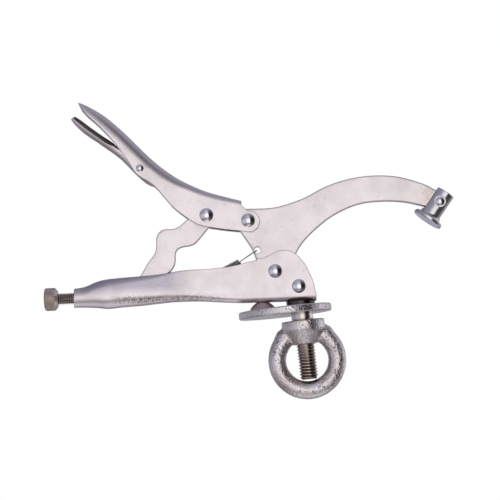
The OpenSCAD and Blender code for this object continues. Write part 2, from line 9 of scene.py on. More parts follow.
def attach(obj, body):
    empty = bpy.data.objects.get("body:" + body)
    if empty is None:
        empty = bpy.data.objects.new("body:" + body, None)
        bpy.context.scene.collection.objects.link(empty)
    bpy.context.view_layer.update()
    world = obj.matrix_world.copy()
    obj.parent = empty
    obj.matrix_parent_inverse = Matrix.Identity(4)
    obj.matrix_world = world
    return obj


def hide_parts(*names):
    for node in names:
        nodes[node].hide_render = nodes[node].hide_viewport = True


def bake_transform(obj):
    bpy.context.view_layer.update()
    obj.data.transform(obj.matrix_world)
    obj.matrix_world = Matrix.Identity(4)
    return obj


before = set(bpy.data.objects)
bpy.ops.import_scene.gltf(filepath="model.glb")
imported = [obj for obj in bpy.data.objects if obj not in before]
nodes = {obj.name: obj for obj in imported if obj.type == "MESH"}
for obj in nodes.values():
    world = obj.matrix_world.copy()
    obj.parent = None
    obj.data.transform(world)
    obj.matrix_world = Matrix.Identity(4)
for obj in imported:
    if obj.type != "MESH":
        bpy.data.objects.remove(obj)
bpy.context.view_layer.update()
scene = bpy.context.scene
print("frame loaded:", len(nodes), "solids")

# the pliers' own plane: millimetres from the jaw pivot, x towards the pad, y up from the handles
pliersPlane = {"lean": 6.5, "studX": 18.317, "studY": -28.880}


def fromPliers(x, y, side=0.0):
    lean = math.radians(pliersPlane["lean"])
    x, y = x - pliersPlane["studX"], y - pliersPlane["studY"]
    return Vector((math.cos(lean) * x + math.sin(lean) * y, -side,
                   math.cos(lean) * y - math.sin(lean) * x)) / 1000


def toPliers(spot):
    lean = math.radians(pliersPlane["lean"])
    return ((math.cos(lean) * spot.x - math.sin(lean) * spot.z) * 1000 + pliersPlane["studX"],
            (math.sin(lean) * spot.x + math.cos(lean) * spot.z) * 1000 + pliersPlane["studY"])


def pliersWay(x, y):
    return fromPliers(x, y) - fromPliers(0, 0)


# camera: long lens, a little below the clamp, rolled so that the handles lie level
shot = {"target": (-0.0305, 0.0, 0.0476), "distance": 1.2, "elevation": -5.0, "roll": 6.5,
        "widthSeen": 0.345, "sensor": 36, "clipStart": 0.02}


def setCamera():
    data = bpy.data.cameras.new("shotCamera")
    data.sensor_width = shot["sensor"]
    data.lens = shot["sensor"] * shot["distance"] / shot["widthSeen"]
    data.clip_start = shot["clipStart"]
    camera = bpy.data.objects.new("shotCamera", data)
    scene.collection.objects.link(camera)
    target = Vector(shot["target"])
    up = math.radians(shot["elevation"])
    place = target + shot["distance"] * Vector((0, -math.cos(up), math.sin(up)))
    look = (target - place).to_track_quat("-Z", "Y").to_matrix().to_4x4()
    camera.matrix_world = Matrix.Translation(place) @ look @ Matrix.Rotation(
        math.radians(-shot["roll"]), 4, "Z")
    scene.camera = camera


# node helpers

def addNode(tree, kind, inputs=None, **settings):
    node = tree.nodes.new(kind)
    for key, value in settings.items():
        setattr(node, key, value)
    for key, value in (inputs or {}).items():
        socket = node.inputs[key]
        if isinstance(value, bpy.types.NodeSocket):
            tree.links.new(value, socket)
        else:
            socket.default_value = value
    return node


def maths(tree, operation, a, b=0.0, c=0.0, clamp=False):
    node = addNode(tree, "ShaderNodeMath", {0: a, 1: b, 2: c}, operation=operation)
    node.use_clamp = clamp
    return node.outputs[0]


def vectorMaths(tree, operation, a, b=(0, 0, 0), output=0):
    return addNode(tree, "ShaderNodeVectorMath", {0: a, 1: b}, operation=operation).outputs[output]


def between(tree, value, low, high, start=0.0, end=1.0):
    return addNode(tree, "ShaderNodeMapRange", {
        0: value, 1: low, 2: high, 3: start, 4: end}).outputs[0]


def blendColours(tree, factor, a, b, kind="MIX"):
    node = addNode(tree, "ShaderNodeMix", {0: factor, 6: a, 7: b}, data_type="RGBA")
    node.blend_type = kind
    return node.outputs[2]


def ramp(tree, factor, stops, smooth="LINEAR"):
    node = addNode(tree, "ShaderNodeValToRGB", {0: factor})
    node.color_ramp.interpolation = smooth
    elements = node.color_ramp.elements
    while len(elements) < len(stops):
        elements.new(1.0)
    for element, (place, value) in zip(elements, stops):
        element.position = place
        element.color = value if len(value) == 4 else (*value, 1.0)
    return node.outputs[0]


def grey(value):
    return (value, value, value, 1.0)


# studio: white all round at eye level, a grey ceiling and a dark gap to the right of the camera.
# Each row is an angle in degrees and the room's colour there, by height and round the object.
studio = {
    "heights": [(-90, (0.84, 0.82, 0.88)), (-62, (0.80, 0.78, 0.84)), (-50, (0.48, 0.45, 0.47)),
                (-38, (0.30, 0.27, 0.27)), (-26, (0.78, 0.76, 0.76)), (-14, (1.14, 1.14, 1.14)),
                (9, (1.14, 1.14, 1.14)), (17, (0.88, 0.87, 0.90)), (27, (0.64, 0.63, 0.70)),
                (40, (0.54, 0.54, 0.62)), (65, (0.44, 0.44, 0.52)), (90, (0.42, 0.42, 0.50))],
    "round": [(-180, (0.42, 0.42, 0.50)), (-112, (0.34, 0.34, 0.40)), (-84, (0.32, 0.32, 0.38)),
              (-66, (0.50, 0.50, 0.58)), (-22, (0.62, 0.61, 0.68)), (-12, (1.12, 1.11, 1.12)),
              (22, (1.16, 1.15, 1.16)), (26, (0.02, 0.015, 0.015)), (74, (0.02, 0.015, 0.015)),
              (93, (0.66, 0.65, 0.72)), (118, (0.78, 0.77, 0.84)), (150, (0.46, 0.46, 0.54)),
              (180, (0.42, 0.42, 0.50))],
    "wallPower": 3.0,
}


def setWorld():
    world = bpy.data.worlds.new("studio")
    world.use_nodes = True
    scene.world = world
    tree = world.node_tree
    tree.nodes.clear()
    direction = addNode(tree, "ShaderNodeTexCoord").outputs["Generated"]
    x, y, z = addNode(tree, "ShaderNodeSeparateXYZ", {0: direction}).outputs
    height = maths(tree, "MULTIPLY_ADD", maths(tree, "ARCSINE", z), 1 / math.pi, 0.5)
    heights = ramp(tree, height, [((a + 90) / 180, c) for a, c in studio["heights"]], "EASE")
    turn = maths(tree, "ARCTAN2", x, maths(tree, "MULTIPLY", y, -1.0))
    turn = maths(tree, "MULTIPLY_ADD", turn, 0.5 / math.pi, 0.5)
    around = ramp(tree, turn, [((a + 180) / 360, c) for a, c in studio["round"]], "EASE")
    # straight up and down, the walls no longer count
    level = maths(tree, "SUBTRACT", 1.0, maths(
        tree, "POWER", maths(tree, "ABSOLUTE", z), studio["wallPower"]))
    walls = blendColours(tree, level, grey(1.0), around)
    room = blendColours(tree, 1.0, heights, walls, "MULTIPLY")
    # the camera and clear things see a plain white wall, and metal sees the room
    rays = addNode(tree, "ShaderNodeLightPath").outputs
    plain = maths(tree, "MAXIMUM", rays["Is Camera Ray"], rays["Is Transmission Ray"])
    seen = maths(tree, "MAXIMUM", plain, rays["Is Glossy Ray"])
    backdrop = blendColours(tree, plain, room, grey(1.0))
    lit = addNode(tree, "ShaderNodeBackground", {"Color": room, "Strength": 1.0})
    shown = addNode(tree, "ShaderNodeBackground", {"Color": backdrop, "Strength": 1.0})
    mixed = addNode(tree, "ShaderNodeMixShader", {
        0: seen, 1: lit.outputs[0], 2: shown.outputs[0]})
    addNode(tree, "ShaderNodeOutputWorld", {0: mixed.outputs[0]})
    scene.view_settings.view_transform = "Standard"


# floor: a round of white paper far below, which the camera sees a little paler than it is lit
paper = {"drop": 0.30, "radius": 1.1, "sides": 96, "colour": 0.93, "roughness": 0.9, "glow": 0.34}


def layFloor():
    work = bmesh.new()
    bmesh.ops.create_circle(work, cap_ends=True, segments=paper["sides"], radius=paper["radius"])
    bmesh.ops.translate(work, verts=work.verts, vec=(0, 0, -paper["drop"]))
    mesh = bpy.data.meshes.new("studioFloor")
    work.to_mesh(mesh)
    work.free()
    floor = bpy.data.objects.new("studioFloor", mesh)
    scene.collection.objects.link(floor)
    material = bpy.data.materials.new("whitePaper")
    material.use_nodes = True
    tree = material.node_tree
    shader = tree.nodes["Principled BSDF"]
    shader.inputs["Base Color"].default_value = grey(paper["colour"])
    shader.inputs["Roughness"].default_value = paper["roughness"]
    shader.inputs["Emission Color"].default_value = grey(1.0)
    seen = addNode(tree, "ShaderNodeLightPath").outputs["Is Camera Ray"]
    glow = maths(tree, "MULTIPLY", seen, paper["glow"])
    tree.links.new(glow, shader.inputs["Emission Strength"])
    mesh.materials.append(material)
    floor.visible_glossy = False


lamps = {"keyLamp": {"place": (-0.5, -1.1, 0.9), "size": 0.9, "power": 5.0},
         "backLamp": {"place": (0.3, 1.2, 0.7), "size": 1.0, "power": 3.0}}


def addLamps():
    for name, lamp in lamps.items():
        data = bpy.data.lights.new(name, "AREA")
        data.size = lamp["size"]
        data.energy = lamp["power"]
        placed = bpy.data.objects.new(name, data)
        scene.collection.objects.link(placed)
        placed.location = lamp["place"]
        placed.rotation_euler = (-Vector(lamp["place"])).to_track_quat("-Z", "Y").to_euler()
        placed.visible_glossy = False  # bright metal shows the room, not the lamps


# finishes: colour with clouds of a tint, roughness and its spread, depth and scale of the grain,
# amount of pits, and the radius to which edges are rounded off
finishes = {
    "satinNickel": {"colour": (0.80, 0.735, 0.745), "tint": (0.735, 0.67, 0.67), "rough": 0.29,
                    "spread": 0.10, "grain": 0.34, "scale": 1900, "pits": 0.55, "round": 0.0009},
    "brightRivet": {"colour": (0.86, 0.85, 0.88), "tint": (0.80, 0.79, 0.83), "rough": 0.025,
                    "spread": 0.01, "grain": 0.01, "scale": 1500, "pits": 0.2, "round": 0.0},
    "brightPad": {"colour": (0.72, 0.70, 0.73), "tint": (0.60, 0.58, 0.60), "rough": 0.20,
                  "spread": 0.10, "grain": 0.10, "scale": 1800, "pits": 0.4, "round": 0.0004},
    "platedDisc": {"colour": (0.80, 0.76, 0.775), "tint": (0.66, 0.58, 0.54), "rough": 0.15,
                   "spread": 0.12, "grain": 1.0, "scale": 620, "pits": 1.0, "round": 0.0006,
                   "cells": 620, "pitSize": 1.5},
    "castEye": {"colour": (0.80, 0.76, 0.775), "tint": (0.68, 0.58, 0.53), "rough": 0.13,
                "spread": 0.12, "grain": 1.0, "scale": 560, "pits": 1.0, "round": 0.0,
                "cells": 620, "pitSize": 1.5},
    "brownedThread": {"colour": (0.74, 0.67, 0.62), "tint": (0.52, 0.43, 0.36), "rough": 0.20,
                      "spread": 0.12, "grain": 0.20, "scale": 2200, "pits": 0.6, "round": 0.0},
    "springWire": {"colour": (0.56, 0.53, 0.52), "tint": (0.24, 0.21, 0.20), "rough": 0.20,
                   "spread": 0.10, "grain": 0.15, "scale": 2600, "pits": 0.3, "round": 0.0},
    "darkButton": {"colour": (0.62, 0.53, 0.51), "tint": (0.46, 0.39, 0.37), "rough": 0.42,
                   "spread": 0.12, "grain": 0.45, "scale": 1500, "pits": 0.5, "round": 0.0},
    # painted shade: a near-black finish for the insides of pressed channels
    "paintedInsideShade": {"colour": (0.20, 0.165, 0.14), "tint": (0.10, 0.075, 0.06), "rough": 0.50,
                    "spread": 0.12, "grain": 0.40, "scale": 1500, "pits": 0.5, "round": 0.0},
}

# what all finishes share; a pair of steps is where a pattern starts and where it is full
surface = {"patchDetail": 4.0, "cloudScale": 70.0, "cloudSteps": (0.38, 0.72),
           "grainDetail": 3.0, "grainRoughness": 0.65, "grainSteps": (0.32, 0.66),
           "grainShade": 0.86, "grainRange": (0.3, 0.7), "bumpReach": 0.3,
           "cells": 700, "pitSteps": (0.10, 0.28), "pitPatches": 190.0,
           "pitPatchSteps": (0.54, 0.68), "pitColour": (0.20, 0.16, 0.145),
           "pitRough": 0.3, "pitDepth": -1.5,
           "edgeSamples": 6, "edgeSteps": (0.76, 0.95), "edgeShade": 0.26}


def patchNoise(tree, place, scale, steps):
    pattern = addNode(tree, "ShaderNodeTexNoise", {
        "Vector": place, "Scale": scale, "Detail": surface["patchDetail"]}).outputs[0]
    return ramp(tree, pattern, [(steps[0], grey(0.0)), (steps[1], grey(1.0))])


def nearness(tree, away, reach):
    return maths(tree, "SUBTRACT", 1.0, maths(tree, "DIVIDE", away, reach), clamp=True)


def axisDistance(tree, place, mark):
    off = vectorMaths(tree, "SUBTRACT", place, mark["start"])
    aside = vectorMaths(tree, "CROSS_PRODUCT", off, mark["axis"])
    return vectorMaths(tree, "LENGTH", aside, output="Value")


def alongWay(tree, place, mark, way):
    off = vectorMaths(tree, "SUBTRACT", place, mark["start"])
    return vectorMaths(tree, "DOT_PRODUCT", off, mark[way], "Value")


# marks: each takes the colour so far and gives the marked one

def addStain(tree, place, colour, mark):  # a brown cloud
    away = vectorMaths(tree, "DISTANCE", place, mark["centre"], "Value")
    near = nearness(tree, away, mark["reach"])
    patches = patchNoise(tree, place, mark["patches"], mark["steps"])
    amount = maths(tree, "MULTIPLY", near, patches)
    amount = maths(tree, "MULTIPLY", amount, mark["depth"], clamp=True)
    return blendColours(tree, amount, colour, (*mark["colour"], 1))


def addStreak(tree, place, colour, mark):  # a darker band along a line, broken into patches
    near = nearness(tree, axisDistance(tree, place, mark), mark["reach"])
    along = alongWay(tree, place, mark, "axis")
    within = maths(tree, "MULTIPLY",
                   between(tree, along, mark["low"], mark["low"] + mark["fadeIn"]),
                   between(tree, along, mark["high"], mark["high"] - mark["fadeOut"]))
    near = maths(tree, "MULTIPLY", maths(tree, "MULTIPLY", near, within), mark["depth"])
    patches = patchNoise(tree, place, mark["patches"], mark["steps"])
    amount = maths(tree, "MULTIPLY", near, patches, clamp=True)
    return blendColours(tree, amount, colour, (*mark["colour"], 1))


def addShade(tree, place, colour, mark):  # painted shade over a flank
    amount = maths(tree, "MULTIPLY",
                   between(tree, alongWay(tree, place, mark, "up"), mark["low"], mark["high"]),
                   between(tree, alongWay(tree, place, mark, "axis"),
                           mark["reach"], mark["reach"] - mark["fade"]))
    shaded = blendColours(tree, 1.0, colour, (*mark["colour"], 1), "MULTIPLY")
    return blendColours(tree, amount, colour, shaded)


def addGrooves(tree, place, colour, mark):  # darker towards the axis: deep in the grooves, plain at the crests
    out = axisDistance(tree, place, mark)
    groove = between(tree, out, mark["core"], mark["crest"], 1.0, 0.0)
    amount = maths(tree, "MULTIPLY", groove, mark["depth"], clamp=True)
    return blendColours(tree, amount, colour, (*mark["colour"], 1))


def addBand(tree, place, colour, mark):  # a ring of another colour, by height
    z = addNode(tree, "ShaderNodeSeparateXYZ", {0: place}).outputs["Z"]
    ring = maths(tree, "MULTIPLY", maths(tree, "GREATER_THAN", z, mark["low"]),
                 maths(tree, "LESS_THAN", z, mark["high"]))
    amount = maths(tree, "MULTIPLY", ring, mark["depth"])
    return blendColours(tree, amount, colour, (*mark["colour"], 1))


def darkEdges(tree, colour, edge):
    # partly painted shade, partly edge dirt: a thin dark line where a rounded edge turns away from
    # the flat face
    flat = addNode(tree, "ShaderNodeNewGeometry").outputs["Normal"]
    turned = vectorMaths(tree, "DOT_PRODUCT", flat, edge, "Value")
    low, high = surface["edgeSteps"]
    shadedEdge = ramp(tree, turned, [(low, grey(surface["edgeShade"])), (high, grey(1.0))])
    return blendColours(tree, 1.0, colour, shadedEdge, "MULTIPLY")


def metalFinish(name, own="", marks=()):
    look = finishes[name]
    material = bpy.data.materials.new(name + own)
    material.use_nodes = True
    tree = material.node_tree
    shader = tree.nodes["Principled BSDF"]
    shader.inputs["Metallic"].default_value = 1.0
    place = addNode(tree, "ShaderNodeTexCoord").outputs["Object"]
    cloud = patchNoise(tree, place, surface["cloudScale"], surface["cloudSteps"])
    grain = addNode(tree, "ShaderNodeTexNoise", {
        "Vector": place, "Scale": look["scale"], "Detail": surface["grainDetail"],
        "Roughness": surface["grainRoughness"]}).outputs[0]
    # small dark pits, thick in some places and absent in others
    cells = addNode(tree, "ShaderNodeTexVoronoi", {
        "Vector": place, "Scale": look.get("cells", surface["cells"])})
    full, gone = (step * look.get("pitSize", 1.0) for step in surface["pitSteps"])
    pit = ramp(tree, cells.outputs["Distance"], [(full, grey(1.0)), (gone, grey(0.0))])
    where = patchNoise(tree, place, surface["pitPatches"], surface["pitPatchSteps"])
    pits = maths(tree, "MULTIPLY", maths(tree, "MULTIPLY", pit, where), look["pits"])

    colour = blendColours(tree, cloud, (*look["colour"], 1), (*look["tint"], 1))
    low, high = surface["grainSteps"]
    fine = ramp(tree, grain, [(low, grey(surface["grainShade"])), (high, grey(1.0))])
    colour = blendColours(tree, 1.0, colour, fine, "MULTIPLY")
    colour = blendColours(tree, pits, colour, (*surface["pitColour"], 1))
    for addMark, mark in marks:
        colour = addMark(tree, place, colour, mark)

    half = look["spread"] / 2
    rough = between(tree, grain, *surface["grainRange"], look["rough"] - half, look["rough"] + half)
    rough = maths(tree, "MULTIPLY_ADD", cloud, half, rough)
    rough = maths(tree, "MULTIPLY_ADD", pits, surface["pitRough"], rough, clamp=True)
    tree.links.new(rough, shader.inputs["Roughness"])

    height = maths(tree, "MULTIPLY_ADD", pits, surface["pitDepth"], grain)
    bump = addNode(tree, "ShaderNodeBump", {
        "Strength": look["grain"], "Distance": surface["bumpReach"] / look["scale"],
        "Height": height})
    if look["round"]:
        edge = addNode(tree, "ShaderNodeBevel", {"Radius": look["round"]},
                       samples=surface["edgeSamples"]).outputs[0]
        tree.links.new(edge, bump.inputs["Normal"])
        colour = darkEdges(tree, colour, edge)
    tree.links.new(colour, shader.inputs["Base Color"])
    tree.links.new(bump.outputs[0], shader.inputs["Normal"])
    return material


# meshes: corners nearer than this are one
weldReach = 2e-6


def newPiece(name, mesh, material):
    piece = bpy.data.objects.new(name, mesh)
    scene.collection.objects.link(piece)
    mesh.materials.clear()
    mesh.materials.append(material)
    return piece


def mergedCopy(node):
    mesh = nodes[node].data.copy()
    work = bmesh.new()
    work.from_mesh(mesh)
    bmesh.ops.remove_doubles(work, verts=work.verts, dist=weldReach)
    work.to_mesh(mesh)
    work.free()
    # the frame's own normals no longer fit the merged corners
    if "custom_normal" in mesh.attributes:
        mesh.attributes.remove(mesh.attributes["custom_normal"])
    return mesh


def shadeSmooth(mesh, angle):
    mesh.shade_smooth()
    mesh.set_sharp_from_angle(angle=math.radians(angle))


def fasten(piece, body, node):
    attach(piece, body)
    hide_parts(node)
    return piece


def dressSolid(node, name, body, material, angle=30):
    mesh = mergedCopy(node)
    shadeSmooth(mesh, angle)
    piece = newPiece(name, mesh, material)
    flatFaces = piece.modifiers.new("flatFaces", "WEIGHTED_NORMAL")
    flatFaces.keep_sharp = True
    return fasten(piece, body, node)


def evaluated(piece):
    bpy.context.view_layer.update()
    return bpy.data.meshes.new_from_object(
        piece.evaluated_get(bpy.context.evaluated_depsgraph_get()))


def easeBetween(value, low, high):
    t = min(max((value - low) / (high - low), 0.0), 1.0)
    return t * t * (3 - 2 * t)


# turned shapes that repeat: threads and knurling, wrapped round the Z axis by geometry nodes

def newTree(name, sizes):
    tree = bpy.data.node_groups.new(name, "GeometryNodeTree")
    tree.interface.new_socket("Geometry", in_out="INPUT", socket_type="NodeSocketGeometry")
    tree.interface.new_socket("Geometry", in_out="OUTPUT", socket_type="NodeSocketGeometry")
    for key, value in sizes.items():
        kind = "NodeSocketInt" if isinstance(value, int) else "NodeSocketFloat"
        tree.interface.new_socket(key, in_out="INPUT", socket_type=kind).default_value = value
    tree.interface.new_socket("Material", in_out="INPUT", socket_type="NodeSocketMaterial")
    return tree, addNode(tree, "NodeGroupInput").outputs


def triangleWave(tree, turns):
    part = maths(tree, "MULTIPLY_ADD", maths(tree, "FRACT", turns), 2.0, -1.0)
    return maths(tree, "SUBTRACT", 1.0, maths(tree, "ABSOLUTE", part))


def endTree(tree, given, mesh):
    solid = addNode(tree, "GeometryNodeRealizeInstances", {"Geometry": mesh}).outputs[0]
    ended = addNode(tree, "GeometryNodeSetMaterial", {
        "Geometry": solid, "Material": given["Material"]}).outputs[0]
    addNode(tree, "NodeGroupOutput", {0: ended})


def wrapRound(tree, given, radiusAt):
    # a grid of one turn and one length becomes a closed shell: a further row at each end
    # meets on the axis
    rows, columns, length = given["Rows"], given["Columns"], given["Length"]
    grid = addNode(tree, "GeometryNodeMeshGrid", {
        "Size X": 1.0, "Size Y": 1.0, "Vertices X": maths(tree, "ADD", columns, 1.0),
        "Vertices Y": maths(tree, "ADD", rows, 3.0)}).outputs["Mesh"]
    flat = addNode(tree, "GeometryNodeInputPosition").outputs[0]
    at = addNode(tree, "ShaderNodeSeparateXYZ", {0: flat}).outputs
    turn = maths(tree, "ADD", at["X"], 0.5)
    row = maths(tree, "MULTIPLY", maths(tree, "ADD", at["Y"], 0.5), maths(tree, "ADD", rows, 2.0))
    along = maths(tree, "DIVIDE", maths(tree, "SUBTRACT", row, 1.0), rows, clamp=True)
    depth = maths(tree, "MULTIPLY", along, length)
    middle = maths(tree, "MULTIPLY", maths(tree, "GREATER_THAN", row, 0.5),
                   maths(tree, "LESS_THAN", row, maths(tree, "ADD", rows, 1.5)))
    radius = maths(tree, "MULTIPLY", radiusAt(turn, depth), middle)
    angle = maths(tree, "MULTIPLY", turn, 2 * math.pi)
    spot = addNode(tree, "ShaderNodeCombineXYZ", {
        0: maths(tree, "MULTIPLY", radius, maths(tree, "COSINE", angle)),
        1: maths(tree, "MULTIPLY", radius, maths(tree, "SINE", angle)),
        2: maths(tree, "MULTIPLY", depth, -1.0)}).outputs[0]
    moved = addNode(tree, "GeometryNodeSetPosition", {
        "Geometry": grid, "Position": spot}).outputs[0]
    joined = addNode(tree, "GeometryNodeMergeByDistance", {
        "Geometry": moved, "Distance": weldReach}).outputs[0]
    endTree(tree, given, joined)


# thread: how steep its flanks are, and how much of its root is flat
threadForm = {"steep": 1.5, "root": -0.25}


def makeThreadTree():
    tree, given = newTree("threadTree", {
        "Length": 0.04, "Radius": 0.006, "Depth": 0.001, "Pitch": 0.002, "Chamfer": 0.001,
        "Rows": 100, "Columns": 64})

    def radiusAt(turn, depth):
        pitches = maths(tree, "DIVIDE", depth, given["Pitch"])
        wave = triangleWave(tree, maths(tree, "SUBTRACT", pitches, turn))
        flank = maths(tree, "MULTIPLY_ADD", wave, threadForm["steep"], threadForm["root"],
                      clamp=True)
        groove = maths(tree, "MULTIPLY", maths(tree, "SUBTRACT", 1.0, flank), given["Depth"])
        radius = maths(tree, "SUBTRACT", given["Radius"], groove)
        left = maths(tree, "SUBTRACT", given["Length"], depth)
        end = maths(tree, "ADD", maths(tree, "SUBTRACT", given["Radius"], given["Chamfer"]), left)
        return maths(tree, "MINIMUM", radius, end)

    wrapRound(tree, given, radiusAt)
    return tree


# knurling: crossed ridges round the knob, cropped at this share of their height
knurlForm = {"crop": 0.8, "across": 45, "pitch": 0.0011, "depth": 0.0008, "band": 0.0073}


def makeKnurlTree():
    tree, given = newTree("knurlTree", {
        "Length": 0.0092, "Radius": 0.0079, "Depth": knurlForm["depth"],
        "Across": knurlForm["across"], "Pitch": knurlForm["pitch"], "Crown": 0.0016,
        "Band": knurlForm["band"], "Slope": 1.158, "Rows": 60, "Columns": 270})

    def radiusAt(turn, depth):
        around = maths(tree, "MULTIPLY", turn, given["Across"])
        up = maths(tree, "DIVIDE", depth, given["Pitch"])
        one = triangleWave(tree, maths(tree, "ADD", around, up))
        other = triangleWave(tree, maths(tree, "SUBTRACT", around, up))
        crop = knurlForm["crop"]
        high = maths(tree, "MINIMUM", maths(tree, "MINIMUM", one, other), crop)
        shown = maths(tree, "LESS_THAN", depth, given["Band"])
        cut = maths(tree, "MULTIPLY", maths(tree, "SUBTRACT", crop, high), given["Depth"])
        cut = maths(tree, "MULTIPLY", cut, shown)
        # rounded end, and a plain cone past the knurling
        inward = maths(tree, "MAXIMUM", maths(tree, "SUBTRACT", given["Crown"], depth), 0.0)
        arch = maths(tree, "SQRT", maths(tree, "SUBTRACT",
                                         maths(tree, "POWER", given["Crown"], 2.0),
                                         maths(tree, "POWER", inward, 2.0)))
        crown = maths(tree, "SUBTRACT", given["Crown"], arch)
        past = maths(tree, "MAXIMUM", maths(tree, "SUBTRACT", depth, given["Band"]), 0.0)
        cone = maths(tree, "MULTIPLY", past, given["Slope"])
        radius = maths(tree, "SUBTRACT", given["Radius"], maths(tree, "ADD", crown, cone))
        return maths(tree, "SUBTRACT", radius, cut)

    wrapRound(tree, given, radiusAt)
    return tree


def runTree(tree, name, sizes, material, source=None):
    mesh = source or bpy.data.meshes.new(name + "Source")
    carrier = bpy.data.objects.new(name + "Carrier", mesh)
    scene.collection.objects.link(carrier)
    nodesModifier = carrier.modifiers.new(name, "NODES")
    nodesModifier.node_group = tree
    for item in tree.interface.items_tree:
        if item.item_type == "SOCKET" and item.in_out == "INPUT" and item.name != "Geometry":
            value = material if item.name == "Material" else sizes.get(item.name)
            if value is not None:
                nodesModifier[item.identifier] = value
    made = evaluated(carrier)
    carrier.modifiers.clear()
    bpy.data.objects.remove(carrier)
    return made


def joinMeshes(name, parts, material):
    work = bmesh.new()
    for mesh, matrix in parts:
        mesh.transform(matrix)
        work.from_mesh(mesh)
    mesh = bpy.data.meshes.new(name)
    work.to_mesh(mesh)
    work.free()
    return newPiece(name, mesh, material)


setCamera()
setWorld()
layFloor()
addLamps()
print("camera, studio and lamps set")

nickel = metalFinish("satinNickel")
insideShadeFinish = metalFinish("paintedInsideShade")
chrome = metalFinish("brightRivet")
print("shared finishes made")

# pressed channels: the insides get a dull, dark material as painted shade, the outsides satin.
# A face is inside where one of three rays from it soon meets the piece again.
inside = {"reach": 0.02, "lift": 2e-5, "tilt": 2, "sideways": 0.05}


# painted shade: faces inside a channel get the dark finish as their second material
def paintInsideShade(piece):
    mesh = piece.data
    mesh.materials.append(insideShadeFinish)
    tree = BVHTree.FromPolygons([v.co for v in mesh.vertices],
                                [tuple(f.vertices) for f in mesh.polygons])
    for face in mesh.polygons:
        start = face.center + face.normal * inside["lift"]
        aside = Vector((0, 1, 0)) - face.normal * face.normal.y
        aside = aside.normalized() if aside.length > inside["sideways"] else Vector()
        aside *= inside["tilt"]
        for way in (face.normal, face.normal + aside, face.normal - aside):
            if tree.ray_cast(start, way.normalized(), inside["reach"])[0] is not None:
                face.material_index = 1
                break


# fixed handle: a painted dark reflection in speckles low on its grip, painted shade on the flank
# above it, and lips that dip a little behind the cheeks, where the spring shows
grip = {"from": (-115.0, -20.0), "to": (-30.0, -19.0), "side": 6.0}
gripStart = fromPliers(*grip["from"], grip["side"])
gripAxis = (fromPliers(*grip["to"], grip["side"]) - gripStart).normalized()
gripUp = Vector((-gripAxis.z, 0, gripAxis.x)).normalized()
# painted reflection: a dark band low along the grip, broken into speckles
gripDarkReflection = {"start": gripStart, "axis": gripAxis, "low": 0.0, "high": 0.088, "fadeIn": 0.012,
              "fadeOut": 0.025, "reach": 0.0042, "patches": 1100.0, "steps": (0.47, 0.62),
              "colour": (0.16, 0.13, 0.125), "depth": 1.5}
# painted shade: the grip's upper flank made duller and bluer
gripPaintedShade = {"start": gripStart, "axis": gripAxis, "up": gripUp, "low": 0.003, "high": 0.009,
             "reach": 0.062, "fade": 0.022, "colour": (0.60, 0.60, 0.67)}
lipDip = {"starts": (-66, -44), "ends": (-26, -16), "lips": (-12, 4), "drop": 1.2}


def lowerLips(mesh):
    drop = pliersWay(0, -lipDip["drop"])
    for v in mesh.vertices:
        x, y = toPliers(v.co)
        share = easeBetween(x, *lipDip["starts"]) * (1 - easeBetween(x, *lipDip["ends"]))
        v.co += drop * share * easeBetween(y, *lipDip["lips"])


nickelGrip = metalFinish("satinNickel", "PaintedShade", [(addStreak, gripDarkReflection), (addShade, gripPaintedShade)])
fixedHandle = dressSolid("fixed_handle", "fixedHandle", "base", nickelGrip)
lowerLips(fixedHandle.data)
paintInsideShade(fixedHandle)
dressSolid("toggle_link", "toggleLink", "link", nickel)
paintInsideShade(dressSolid("movable_handle", "movableHandle", "handle", nickel))

# release lever: its tail leans towards the front, so that its inside, dark with painted shade,
# shows over the near lip
lever = {"pivot": (-93.2, 70.9), "axisFrom": (-10.6, 7.5), "axisTo": (-46.5, 34.5),
         "turn": -38.0, "starts": 9.0, "ends": 24.0}


def leanTail(mesh):
    pivot = Vector(lever["pivot"])
    start = fromPliers(*(pivot + Vector(lever["axisFrom"])))
    axis = (fromPliers(*(pivot + Vector(lever["axisTo"]))) - start).normalized()
    for v in mesh.vertices:
        share = easeBetween(pivot.x - toPliers(v.co)[0], lever["starts"], lever["ends"])
        turn = Matrix.Rotation(math.radians(lever["turn"]) * share, 3, axis)
        v.co = start + turn @ (v.co - start)


releaseLever = dressSolid("release_lever", "releaseLever", "lever", nickel)
leanTail(releaseLever.data)
paintInsideShade(releaseLever)

# upper jaw: brown clouds beside the pad and a grey one on the arm
jawSide = 3.5
jawStains = [
    {"centre": (106.0, 51.0), "reach": 0.012, "colour": (0.50, 0.36, 0.25), "depth": 0.75},
    {"centre": (109.5, 46.5), "reach": 0.008, "colour": (0.50, 0.36, 0.25), "depth": 0.6},
    {"centre": (31.0, 42.0), "reach": 0.006, "colour": (0.45, 0.40, 0.38), "depth": 0.35}]
for stain in jawStains:
    stain.update(centre=fromPliers(*stain["centre"], jawSide), patches=260.0, steps=(0.20, 0.80))
nickelJaw = metalFinish("satinNickel", "Stained", [(addStain, stain) for stain in jawStains])
dressSolid("upper_jaw", "upperJaw", "jaw", nickelJaw)

# rivets, pad, disc and button keep the shape of their solids
for node, name, body in (("jaw_pivot_rivet", "jawPivotRivet", "base"),
                         ("front_rivet", "frontRivet", "base"),
                         ("handle_rivet", "handleRivet", "handle"),
                         ("link_rivet", "linkRivet", "handle"),
                         ("lever_rivet", "leverRivet", "handle"),
                         ("pad_rivet", "padRivet", "pad")):
    dressSolid(node, name, body, chrome)
padFinish = metalFinish("brightPad")
dressSolid("swivel_pad", "swivelPad", "pad", padFinish)
discUnderside = {"low": -0.001, "high": 0.0004, "colour": (0.42, 0.30, 0.22), "depth": 0.55}
discFinish = metalFinish("platedDisc", marks=[(addBand, discUnderside)])
dressSolid("base_disc", "baseDisc", "base", discFinish)
buttonFinish = metalFinish("darkButton")
dressSolid("rest_button", "restButton", "base", buttonFinish)
print("solids dressed")

